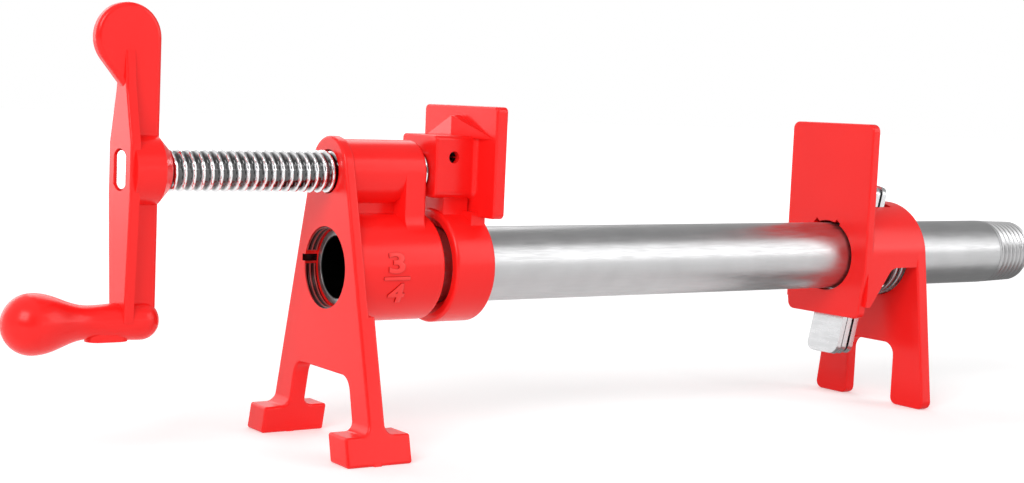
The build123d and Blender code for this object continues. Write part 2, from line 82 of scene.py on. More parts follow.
class NodeGraph:
    """A node tree with short calls to add, feed and join its nodes."""

    def __init__(self, tree: bpy.types.NodeTree) -> None:
        """Take the tree that gets the nodes.

        Args:
            tree: The tree.
        """
        self.tree = tree

    def feed(self, target: Socket, value: object) -> None:
        """Link a socket to an input, or set the input to a plain value.

        Args:
            target: The input.
            value: The socket or the plain value.
        """
        if isinstance(value, Socket):
            self.tree.links.new(value, target)
        else:
            target.default_value = value

    def fill(self, node: bpy.types.Node, **inputs: object) -> None:
        """Feed several inputs of a node, an underscore in a name standing for a space."""
        for key, value in inputs.items():
            self.feed(node.inputs[key.replace("_", " ")], value)

    def node(self, kind: str, **inputs: object) -> bpy.types.Node:
        """Add a node and feed its inputs.

        Args:
            kind: The node's type name.
            **inputs: A value or socket for each input.

        Returns:
            The new node.
        """
        node = self.tree.nodes.new(kind)
        self.fill(node, **inputs)
        return node

    def calculate(self, operation: str, *values: Value) -> Socket:
        """Add a Math node.

        Args:
            operation: What it calculates.
            *values: Its inputs, in order.

        Returns:
            The result's socket.
        """
        node = self.tree.nodes.new("ShaderNodeMath")
        node.operation = operation
        for socket, value in zip(node.inputs, values):
            self.feed(socket, value)
        return node.outputs[0]

    def span(self, value: Value, start: Value, end: Value, low: float = 0.0, high: float = 1.0) -> Socket:
        """Map a range of a value onto another range, smoothly.

        Args:
            value: The value.
            start: Where its range starts.
            end: Where its range ends.
            low: What start becomes.
            high: What end becomes.

        Returns:
            The result's socket.
        """
        node = self.node(
            "ShaderNodeMapRange", Value=value, From_Min=start, From_Max=end, To_Min=low, To_Max=high,
        )
        node.interpolation_type = "SMOOTHSTEP"
        return node.outputs["Result"]


class NodeBoard(NodeGraph):
    """A material's node tree, round one Principled shader."""

    def __init__(self, name: str) -> None:
        """Start the material.

        Args:
            name: The material's name.
        """
        self.material = bpy.data.materials.new(name)
        self.material.use_nodes = True
        super().__init__(self.material.node_tree)

    def finish(self, **inputs: object) -> bpy.types.Material:
        """Feed the shader's inputs and hand over the material."""
        self.fill(self.tree.nodes["Principled BSDF"], **inputs)
        return self.material

    def place(self, scale: Place = (1.0, 1.0, 1.0), shift: Place = (0.0, 0.0, 0.0)) -> Socket:
        """Give object coordinates through a Mapping node.

        Args:
            scale: The mapping's scale along each axis.
            shift: The mapping's location, which brings a piece's axis to the origin.

        Returns:
            The mapped vector's socket.
        """
        object_place = self.tree.nodes.new("ShaderNodeTexCoord").outputs["Object"]
        mapping = self.node("ShaderNodeMapping", Vector=object_place, Scale=scale, Location=shift)
        return mapping.outputs["Vector"]

    def noise(self, vector: Socket, scale: float, detail: float) -> Socket:
        """Add a noise texture and return its value's socket."""
        return self.node("ShaderNodeTexNoise", Vector=vector, Scale=scale, Detail=detail).outputs["Fac"]

    def spread(self, noise: Value, low: float, high: float) -> Socket:
        """Map the middle range of a noise onto low to high and return the socket."""
        return self.span(noise, *NOISE_MIDDLE, low, high)

    def bump(self, height: Value, distance: float) -> Socket:
        """Make a normal that a height roughens, where the value 1 stands for a distance in metres."""
        node = self.node("ShaderNodeBump", Strength=BUMP_SHARE, Distance=distance, Height=height)
        return node.outputs["Normal"]

    def blend(self, share: Value, low: Colour, high: Colour) -> Socket:
        """Mix two colours.

        Args:
            share: The second colour's share.
            low: The first colour.
            high: The second colour.

        Returns:
            The mixed colour's socket.
        """
        node = self.node("ShaderNodeMix", Factor=share)
        node.data_type = "RGBA"
        sides = [socket for socket in node.inputs if socket.type == "RGBA"]
        for socket, colour in zip(sides, (low, high)):
            self.feed(socket, (*colour, 1.0))
        return next(socket for socket in node.outputs if socket.type == "RGBA")

    def off_axis(self, axis_z: float) -> Socket:
        """Measure how far a point is from an axis along X.

        Args:
            axis_z: The axis's height.

        Returns:
            The distance's socket.
        """
        parts = self.node("ShaderNodeSeparateXYZ", Vector=self.place(shift=(0.0, 0.0, -axis_z))).outputs
        squares = [self.calculate("MULTIPLY", parts[name], parts[name]) for name in ("Y", "Z")]
        return self.calculate("SQRT", self.calculate("ADD", *squares))


@dataclass(frozen=True)
class RadialPaintedShade:
    """Painted shade that follows the distance from an axis along X, as in a thread's grooves or a pipe's
    bore.
    """

    axis_z: float
    start_r: float
    end_r: float
    start: float
    end: float = 1.0

    def share(self, board: NodeBoard) -> Socket:
        """Give the painted shade's share on a board."""
        return board.span(board.off_axis(self.axis_z), self.start_r, self.end_r, self.start, self.end)


@dataclass(frozen=True)
class PowderCoat:
    """Glossy coat over cast iron: an even colour with a faint orange peel and soft casting waves; where a
    shade is given, painted shade by distance from an axis sets the colour in place of the waves.
    """

    name: str = "red_powder_coat"
    low: Colour = (0.93, 0.011, 0.010)
    high: Colour = (0.98, 0.016, 0.014)
    roughness: tuple[float, float] = (0.22, 0.27)
    specular: float = 0.30
    peel_scale: float = 900.0
    peel_depth: float = 0.01 * MM
    wave_scale: float = 45.0
    shade: RadialPaintedShade | None = None

    def material(self) -> bpy.types.Material:
        """Make the coat's material."""
        board = NodeBoard(self.name)
        peel = board.noise(board.place(), self.peel_scale, detail=1.0)
        wave = board.noise(board.place(), self.wave_scale, detail=0.0)
        # Where a shade is given, the colour goes from low to high by distance from an axis as painted
        # shade; otherwise it follows the random casting waves.
        tone = self.shade.share(board) if self.shade else wave
        return board.finish(
            Base_Color=board.blend(tone, self.low, self.high),
            Roughness=board.span(wave, 0.0, 1.0, *self.roughness),
            Specular_IOR_Level=self.specular,
            Normal=board.bump(peel, self.peel_depth),
        )


@dataclass(frozen=True)
class BareSteel:
    """A bare or plated steel with faint clouds and fine marks drawn out along one axis, and, where a shade
    is given, painted shade by distance from an axis.
    """

    name: str
    steel: Steel
    mark_stretch: Place = (30.0, 400.0, 400.0)
    mark_scale: float = 4.0
    mark_depth: float = 0.0015 * MM
    cloud_scale: float = 90.0
    cloud_share: float = 0.06
    roughness_range: tuple[float, float] = (0.8, 1.2)
    # The colour that the random clouds and the painted shade darken towards.
    dark: Colour = (0.008, 0.008, 0.008)
    shade: RadialPaintedShade | None = None

    def material(self) -> bpy.types.Material:
        """Make the steel's material."""
        board = NodeBoard(self.name)
        colour, roughness = self.steel.value
        # Painted shade: with a shade given, the base colour darkens by distance from an axis, on top of the
        # random clouds.
        shade = self.shade.share(board) if self.shade else 1.0
        marks = board.noise(board.place(self.mark_stretch), self.mark_scale, detail=4.0)
        clouds = board.noise(board.place(), self.cloud_scale, detail=3.0)
        unshaded_and_clean = board.calculate("MULTIPLY", shade, board.spread(clouds, 1.0 - self.cloud_share, 1.0))
        smoothest, roughest = (share * roughness for share in self.roughness_range)
        return board.finish(
            Base_Color=board.blend(unshaded_and_clean, self.dark, colour),
            Metallic=1.0,
            Roughness=board.spread(marks, smoothest, roughest),
            Normal=board.bump(marks, self.mark_depth),
        )


def as_mesh(form: bmesh.types.BMesh, name: str) -> bpy.types.Mesh:
    """Hand a form over as a mesh and let the form go.

    Args:
        form: The form.
        name: The mesh's name.

    Returns:
        The mesh.
    """
    mesh = bpy.data.meshes.new(name)
    form.to_mesh(mesh)
    form.free()
    return mesh


def baked_mesh(holder: bpy.types.Object) -> bpy.types.Mesh:
    """Turn what an object's modifiers or its text show into a plain mesh.

    Args:
        holder: The object, not linked yet.

    Returns:
        The mesh.
    """
    bpy.context.collection.objects.link(holder)
    bpy.context.view_layer.update()
    return bpy.data.meshes.new_from_object(holder.evaluated_get(bpy.context.evaluated_depsgraph_get()))


def round_size(low: Vector, high: Vector) -> tuple[float, float]:
    """Give the axis height and the radius of a round CAD node from its box's corners."""
    return (low.z + high.z) / 2, (high.z - low.z) / 2


def mesh_piece(
    name: str, mesh: bpy.types.Mesh, material: bpy.types.Material, body: str,
) -> bpy.types.Object:
    """Make a piece of a mesh, smooth where it is smooth, on its body.

    Args:
        name: The piece's name.
        mesh: Its mesh, in place.
        material: Its material.
        body: The body that it rides on.

    Returns:
        The new piece.
    """
    piece = bpy.data.objects.new(name, mesh)
    bpy.context.collection.objects.link(piece)
    mesh.materials.clear()
    mesh.materials.append(material)
    mesh.polygons.foreach_set("use_smooth", [True] * len(mesh.polygons))
    mesh.set_sharp_from_angle(angle=SHARP_EDGE)
    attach(piece, body)
    LOG.info("made %s with %d faces", name, len(mesh.polygons))
    return piece


def dress_node(name: str, material: bpy.types.Material) -> None:
    """Give a CAD node one material in place of its own.

    Args:
        name: The node's name.
        material: The material.
    """
    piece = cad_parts[name]
    piece.data.materials.clear()
    piece.data.materials.append(material)
    LOG.info("dressed %s", name)


class SizedNodes(NodeGraph):
    """A Geometry Nodes tree with named sizes, which runs and leaves a plain mesh."""

    def __init__(self, name: str, lengths: Sequence[str], counts: Sequence[str]) -> None:
        """Start the tree with its inputs.

        Args:
            name: The tree's name.
            lengths: Names of the inputs that are lengths or shares.
            counts: Names of the inputs that are whole numbers.
        """
        super().__init__(bpy.data.node_groups.new(name, "GeometryNodeTree"))
        self.identifiers: dict[str, str] = {}
        kinds = {label: "NodeSocketFloat" for label in lengths}
        kinds.update({label: "NodeSocketInt" for label in counts})
        kinds["Material"] = "NodeSocketMaterial"
        for label, kind in kinds.items():
            socket = self.tree.interface.new_socket(label, in_out="INPUT", socket_type=kind)
            self.identifiers[label] = socket.identifier
        self.tree.interface.new_socket("Geometry", in_out="OUTPUT", socket_type="NodeSocketGeometry")
        self.given = self.tree.nodes.new("NodeGroupInput").outputs

    def add(self, kind: str, **inputs: Value) -> Socket:
        """Add a node, feed its inputs and return its first output's socket."""
        return self.node(kind, **inputs).outputs[0]

    def rise(self, value: Value, start: Value, end: Value) -> Socket:
        """Rise smoothly from 0 to 1, or at once where start and end are the same.

        Args:
            value: What the rise follows.
            start: Where it is still 0.
            end: Where it is 1.

        Returns:
            The result's socket.
        """
        later = self.calculate("MAXIMUM", end, self.calculate("ADD", start, SAME))
        return self.span(self.calculate("ADD", value, SAME), start, later)

    def close(self, geometry: Socket) -> None:
        """End the tree in Realize Instances and Set Material.

        Args:
            geometry: What the tree has made.
        """
        real = self.add("GeometryNodeRealizeInstances", Geometry=geometry)
        painted = self.add("GeometryNodeSetMaterial", Geometry=real, Material=self.given["Material"])
        self.node("NodeGroupOutput", Geometry=painted)

    def bake(self, name: str, material: bpy.types.Material, sizes: dict[str, float]) -> bpy.types.Mesh:
        """Run the tree and hand over its mesh.

        Args:
            name: The mesh's name.
            material: Its material.
            sizes: A value for each of the tree's inputs.

        Returns:
            The mesh.
        """
        holder = bpy.data.objects.new(name, bpy.data.meshes.new(name))
        modifier = holder.modifiers.new(name, "NODES")
        modifier.node_group = self.tree
        for label, value in sizes.items():
            modifier[self.identifiers[label]] = value
        modifier[self.identifiers["Material"]] = material
        mesh = baked_mesh(holder)
        holder.modifiers.remove(modifier)
        bpy.data.objects.remove(holder)
        return mesh


@dataclass(frozen=True)
class ThreadForm:
    """A thread's form, and how finely its skin is divided.

    Crest and flank are shares of the pitch. The thread deepens from nothing over run_in and run_out.
    """

    pitch: float
    depth: float
    crest: float
    flank: float
    steps: int
    taper: float = 0.0
    run_in: float = 0.0
    run_out: float = 0.0

    def rows(self, per_pitch: int, ends: tuple[float, float]) -> int:
        """Count the rings of vertices between two ends, from how many there are to a pitch."""
        return round(per_pitch * (ends[1] - ends[0]) / self.pitch)

    def roots(self, axis_z: float, radius: float, clear: float, shade: float) -> RadialPaintedShade:
        """Give the painted shade that darkens the thread towards its root.

        Args:
            axis_z: The height of the thread's axis.
            radius: Its widest radius.
            clear: How deep the tone reaches its full value, as a share of the depth.
            shade: The painted shade's tone at the very root.

        Returns:
            The tone.
        """
        return RadialPaintedShade(axis_z, radius - self.depth, radius - clear * self.depth, shade)


class ThreadNodes(SizedNodes):
    """A right-hand thread as a skin round an axis along X, whose height follows a rounded trapezoid.

    Its inputs: Start and End along X, Axis Height, the widest Radius at Start and its Taper along X, the
    thread's Depth and Pitch, the widths of Crest and Flank as shares of the pitch, the lengths Run In and
    Run Out, the arc's start and share in turns, and the counts of Rows and Steps.
    """

    LENGTHS = (
        "Start", "End", "Axis Height", "Radius", "Taper", "Depth", "Pitch", "Crest", "Flank",
        "Run In", "Run Out", "Arc Start", "Arc",
    )
    COUNTS = ("Rows", "Steps")

    def __init__(self) -> None:
        """Build the tree."""
        super().__init__("thread_nodes", self.LENGTHS, self.COUNTS)
        given, calculate = self.given, self.calculate
        grid = self.add(
            "GeometryNodeMeshGrid", Size_X=1.0, Size_Y=1.0, Vertices_X=given["Rows"],
            Vertices_Y=calculate("ADD", given["Steps"], 1.0),
        )
        spot = self.node("ShaderNodeSeparateXYZ", Vector=self.add("GeometryNodeInputPosition")).outputs
        along = calculate("ADD", spot["X"], 0.5)
        around = calculate("ADD", spot["Y"], 0.5)
        length = calculate("SUBTRACT", given["End"], given["Start"])
        x = calculate("MULTIPLY_ADD", along, length, given["Start"])
        turn = calculate("MULTIPLY_ADD", around, given["Arc"], given["Arc Start"])
        radius = self._radius(x, turn)
        angle = calculate("MULTIPLY", turn, math.tau)
        aside = calculate("MULTIPLY", radius, calculate("COSINE", angle))
        above = calculate("MULTIPLY_ADD", radius, calculate("SINE", angle), given["Axis Height"])
        place = self.add("ShaderNodeCombineXYZ", X=x, Y=aside, Z=above)
        skin = self.add("GeometryNodeSetPosition", Geometry=grid, Position=place)
        self.close(self.add("GeometryNodeMergeByDistance", Geometry=skin, Distance=SAME))

    def _radius(self, x: Socket, turn: Socket) -> Socket:
        """Give the skin's radius.

        Args:
            x: The place along the axis.
            turn: The turn round it.

        Returns:
            The radius's socket.
        """
        given, calculate = self.given, self.calculate
        share = calculate("FRACT", calculate("SUBTRACT", calculate("DIVIDE", x, given["Pitch"]), turn))
        off_crest = calculate("ABSOLUTE", calculate("SUBTRACT", share, 0.5))
        half_crest = calculate("MULTIPLY", given["Crest"], 0.5)
        groove = self.rise(off_crest, half_crest, calculate("ADD", half_crest, given["Flank"]))
        from_start = calculate("SUBTRACT", x, given["Start"])
        to_end = calculate("SUBTRACT", given["End"], x)
        run_in = self.rise(from_start, 0.0, given["Run In"])
        run_out = self.rise(to_end, 0.0, given["Run Out"])
        full = calculate("MULTIPLY", given["Depth"], groove)
        depth = calculate("MULTIPLY", full, calculate("MULTIPLY", run_in, run_out))
        fall = calculate("MULTIPLY_ADD", from_start, given["Taper"], depth)
        return calculate("SUBTRACT", given["Radius"], fall)

    def skin(
        self, name: str, material: bpy.types.Material, thread: ThreadForm, ends: tuple[float, float],
        rows: int, axis_z: float, radius: float, gap: float = 0.0,
    ) -> bpy.types.Mesh:
        """Make one thread's skin.

        Args:
            name: The mesh's name.
            material: Its material.
            thread: The thread's form.
            ends: Where it starts and ends along X.
            rows: How many rings of vertices it has.
            axis_z: The height of its axis.
            radius: Its widest radius.
            gap: The share of a turn that stays open, upwards from the +Y side.

        Returns:
            The skin's mesh.
        """
        start, end = ends
        return self.bake(name, material, {
            "Start": start,
            "End": end,
            "Axis Height": axis_z,
            "Radius": radius,
            "Taper": thread.taper,
            "Depth": thread.depth,
            "Pitch": thread.pitch,
            "Crest": thread.crest,
            "Flank": thread.flank,
            "Run In": thread.run_in,
            "Run Out": thread.run_out,
            "Arc Start": gap,
            "Arc": 1.0 - gap,
            "Rows": rows,
            "Steps": thread.steps,
        })


@dataclass(frozen=True)
class Station:
    """A ring of a turned form: its place along X, its radius, and half the distance between two flats."""

    x: float
    radius: float
    flat: float = math.inf

    def reach(self, angle: float) -> float:
        """Give the ring's radius at an angle from the +Y side."""
        return min(self.radius, self.flat / max(abs(math.cos(angle)), LEAST_COSINE))


class TurnedForm:
    """A mesh in the making whose rings lie round one axis along X."""

    def __init__(self, skin: bpy.types.Mesh, axis_z: float) -> None:
        """Start from a skin whose ends are open rings.

        Args:
            skin: The skin's mesh.
            axis_z: The axis's height.
        """
        self.form = bmesh.new()
        self.form.from_mesh(skin)
        self.axis_z = axis_z
        ends = [vert for vert in self.form.verts if vert.is_boundary]
        middle = sum(vert.co.x for vert in ends) / len(ends)
        self.first = self._ordered([vert for vert in ends if vert.co.x < middle])
        self.last = self._ordered([vert for vert in ends if vert.co.x >= middle])

    def _angle(self, vert: bmesh.types.BMVert) -> float:
        """Give a vertex's angle round the axis."""
        return math.atan2(vert.co.z - self.axis_z, vert.co.y)

    def _ordered(self, ring: Ring) -> Ring:
        """Order a ring's vertices round the axis."""
        return sorted(ring, key=self._angle)

    def join(self, ring: Ring, following: Ring) -> None:
        """Lay faces between two rings.

        Args:
            ring: The first ring.
            following: The second ring, with as many vertices.
        """
        for index in range(len(ring)):
            after = (index + 1) % len(ring)
            self.form.faces.new((ring[index], ring[after], following[after], following[index]))

    def carry(self, ring: Ring, stations: Sequence[Station]) -> Ring:
        """Carry the form on from a ring through stations.

        Args:
            ring: The ring to start from.
            stations: The rings to make, in order.

        Returns:
            The last ring.
        """
        angles = [self._angle(vert) for vert in ring]
        for station in stations:
            following = []
            for angle in angles:
                reach = station.reach(angle)
                across, up = reach * math.cos(angle), reach * math.sin(angle)
                following.append(self.form.verts.new((station.x, across, self.axis_z + up)))
            self.join(ring, following)
            ring = following
        return ring

    def cap(self, ring: Ring) -> None:
        """Close a flat ring with one face."""
        self.form.faces.new(ring)

    def mesh(self, name: str) -> bpy.types.Mesh:
        """Point the normals outwards and hand over the mesh."""
        bmesh.ops.recalc_face_normals(self.form, faces=self.form.faces)
        return as_mesh(self.form, name)


@dataclass
class Castings:
    """The four coated castings, which keep their CAD shapes."""

    nodes: tuple[str, ...] = ("head_casting", "sliding_jaw", "tail_jaw", "crank_handle")

    def dress(self) -> None:
        """Coat each casting."""
        coat = PowderCoat().material()
        for name in self.nodes:
            dress_node(name, coat)


@dataclass
class Spindle:
    """The spindle: double-D tenon in the crank's hub, rolled thread, grooved end in the sliding jaw."""

    thread: ThreadForm = ThreadForm(
        pitch=3.175 * MM, depth=1.25 * MM, crest=0.16, flank=0.24, steps=64, run_out=1.6 * MM,
    )
    rows_per_pitch: int = 16
    painted_shade_at_root: float = 0.13
    root_clear: float = 0.25
    tenon_r: float = 6.65 * MM
    tenon_flat: float = 4.85 * MM
    tenon_edge: float = 0.6 * MM
    journal_r: float = 6.35 * MM
    journal_stub: float = 0.6 * MM
    groove_r: float = 3.5 * MM
    groove_play: float = 0.2 * MM
    end_chamfer: float = 1.0 * MM

    def build(self, threads: ThreadNodes) -> None:
        """Make the spindle in place of its CAD node.

        Args:
            threads: The tree that makes its thread.
        """
        low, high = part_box("spindle")
        axis_z, radius = round_size(low, high)
        hub_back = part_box("crank_handle")[1].x
        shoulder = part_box("sliding_jaw")[0].x - self.journal_stub
        # Painted shade: the spindle's base colour darkens towards the thread's root.
        roots = self.thread.roots(axis_z, radius, self.root_clear, self.painted_shade_at_root)
        steel = BareSteel("spindle_plate", Steel.SPINDLE, shade=roots).material()
        ends = (hub_back, shoulder)
        rows = self.thread.rows(self.rows_per_pitch, ends)
        skin = threads.skin("spindle", steel, self.thread, ends, rows, axis_z, radius)
        form = TurnedForm(skin, axis_z)
        self._add_tenon(form, low.x, hub_back)
        self._add_journal(form, shoulder, high.x)
        mesh = form.mesh("spindle_threaded")
        piece = mesh_piece("spindle_threaded", mesh, steel, "spindle")
        # The tenon and the turned end take the same steel without the painted shade.
        mesh.materials.append(BareSteel("spindle_ends", Steel.SPINDLE).material())
        for face in mesh.polygons:
            face.material_index = 0 if hub_back < face.center.x < shoulder else 1
        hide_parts("spindle")

    def _add_tenon(self, form: TurnedForm, tip: float, hub_back: float) -> None:
        """Carry the form on as the flattened tenon and close it.

        Args:
            form: The form.
            tip: Where the tenon ends.
            hub_back: Where it starts, at the back of the crank's hub.
        """
        form.cap(form.carry(form.first, (
            Station(hub_back, self.tenon_r, self.tenon_flat),
            Station(tip + self.tenon_edge, self.tenon_r, self.tenon_flat),
            Station(tip, self.tenon_r - self.tenon_edge, self.tenon_flat - self.tenon_edge),
        )))

    def _add_journal(self, form: TurnedForm, shoulder: float, tip: float) -> None:
        """Carry the form on as the turned end, with the groove that the pin runs in, and close it.

        Args:
            form: The form.
            shoulder: Where the turned end starts.
            tip: Where it ends.
        """
        pin_low, pin_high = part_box("retaining_pin")
        pin_r = round_size(pin_low, pin_high)[1]
        groove_start = pin_low.x - self.groove_play
        groove_end = pin_low.x + 2 * pin_r + self.groove_play
        form.cap(form.carry(form.last, (
            Station(shoulder, self.journal_r),
            Station(groove_start, self.journal_r),
            Station(groove_start, self.groove_r),
            Station(groove_end, self.groove_r),
            Station(groove_end, self.journal_r),
            Station(tip - self.end_chamfer, self.journal_r),
            Station(tip, self.journal_r - self.end_chamfer),
        )))


@dataclass
class Pipe:
    """The pipe: plain tube, its free end cut with a tapered pipe thread, its bore near black as painted
    shade.
    """

    thread: ThreadForm = ThreadForm(
        pitch=2.6 * MM, depth=1.15 * MM, crest=0.16, flank=0.36, steps=72, taper=1.0 / 32.0,
        run_in=4.0 * MM,
    )
    rows_per_pitch: int = 14
    thread_l: float = 21.0 * MM
    bore_r: float = 10.465 * MM
    edge: float = 0.7 * MM
    bore_shade_start: float = 0.1 * MM
    bore_shade_end: float = 0.5 * MM
    bore_shade: float = 0.02

    def build(self, threads: ThreadNodes) -> None:
        """Make the pipe in place of its CAD node.

        Args:
            threads: The tree that makes its thread.
        """
        low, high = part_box("pipe")
        axis_z, radius = round_size(low, high)
        # Painted shade: near black in the bore, fading out just outside it.
        scale = RadialPaintedShade(
            axis_z, self.bore_r + self.bore_shade_start, self.bore_r + self.bore_shade_end, self.bore_shade,
        )
        steel = BareSteel("pipe_zinc", Steel.PIPE, shade=scale).material()
        ends = (high.x - self.thread_l, high.x - self.edge)
        rows = self.thread.rows(self.rows_per_pitch, ends)
        form = TurnedForm(threads.skin("pipe", steel, self.thread, ends, rows, axis_z, radius), axis_z)
        end_r = radius - self.thread.taper * self.thread_l - self.thread.depth
        around = form.carry(form.last, (
            Station(high.x, end_r),
            Station(high.x, self.bore_r + self.edge / 2),
            Station(high.x - self.edge / 2, self.bore_r),
            Station(low.x + self.edge / 2, self.bore_r),
            Station(low.x, self.bore_r + self.edge / 2),
            Station(low.x, radius - self.edge),
            Station(low.x + self.edge, radius),
        ))
        form.join(around, form.first)
        piece = mesh_piece("pipe_threaded", form.mesh("pipe_threaded"), steel, "frame")
        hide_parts("pipe")


@dataclass
class MouthThread:
    """The pipe thread that shows in the head's mouth, in front of the pipe's end, in dark red painted
    shade.
    """

    thread: ThreadForm = ThreadForm(
        pitch=1.814 * MM, depth=0.56 * MM, crest=0.30, flank=0.30, steps=96,
    )
    rows: int = 40
    painted_crest_shade: Colour = (0.42, 0.05, 0.045)
    painted_root_shade: Colour = (0.035, 0.001, 0.001)
    root_clear: float = 0.5
    length: float = 4.4 * MM
    wall: float = 0.2 * MM
    pipe_play: float = 0.54 * MM
    end_play: float = 0.05 * MM
    gap: float = 0.0544
    groove_low: float = 0.8 * MM
    groove_high: float = 3.2 * MM
    groove_out: float = 1.8 * MM
    lining: float = 0.04 * MM

    def build(self, threads: ThreadNodes) -> None:
        """Make the thread, open where the casting's groove crosses it, and the groove's lining, all in
        painted shade.

        Args:
            threads: The tree that makes it.
        """
        low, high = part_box("pipe")
        axis_z, pipe_r = round_size(low, high)
        radius = pipe_r + self.pipe_play
        # Painted shade: dark red at the crests, near black from half the depth to the root and in the
        # groove's lining.
        tone = self.thread.roots(axis_z, radius, self.root_clear, 0.0)
        coat = PowderCoat("mouth_thread_painted_shade", self.painted_crest_shade, self.painted_root_shade, shade=tone).material()
        ends = (low.x - self.length, low.x - self.end_play)
        skin = threads.skin("mouth_thread", coat, self.thread, ends, self.rows, axis_z, radius, self.gap)
        form = bmesh.new()
        form.from_mesh(skin)
        bmesh.ops.solidify(form, geom=form.faces[:], thickness=self.wall)
        self._line_groove(form, Vector((low.x, radius, axis_z)))
        bmesh.ops.recalc_face_normals(form, faces=form.faces)
        mesh_piece("mouth_thread", as_mesh(form, "mouth_thread"), coat, "frame")

    def _line_groove(self, form: bmesh.types.BMesh, mouth: Vector) -> None:
        """Line the groove across the thread with a thin shell of painted shade, open to the front and to
        the pipe.

        Args:
            form: The form that takes the lining.
            mouth: The mouth's back end, its radius and its axis height.
        """
        low = mouth + Vector((-self.length, -self.thread.depth, self.groove_low + self.lining))
        high = mouth + Vector((-self.lining, self.groove_out - self.lining, self.groove_high - self.lining))
        box = bmesh.new()
        bmesh.ops.create_cube(box, size=1.0)
        bmesh.ops.scale(box, vec=high - low, verts=box.verts)
        bmesh.ops.translate(box, vec=(low + high) / 2, verts=box.verts)
        box.normal_update()
        open_faces = [face for face in box.faces if min(face.normal.x, face.normal.y) < -0.5]
        bmesh.ops.delete(box, geom=open_faces, context="FACES")
        bmesh.ops.solidify(box, geom=box.faces[:], thickness=self.lining)
        form.from_mesh(as_mesh(box, "groove_painted_shade_lining"))


@dataclass(frozen=True)
class Seat:
    """A figure's middle on the boss: along X, and round it in degrees up from the near side."""

    x: float
    angle: float


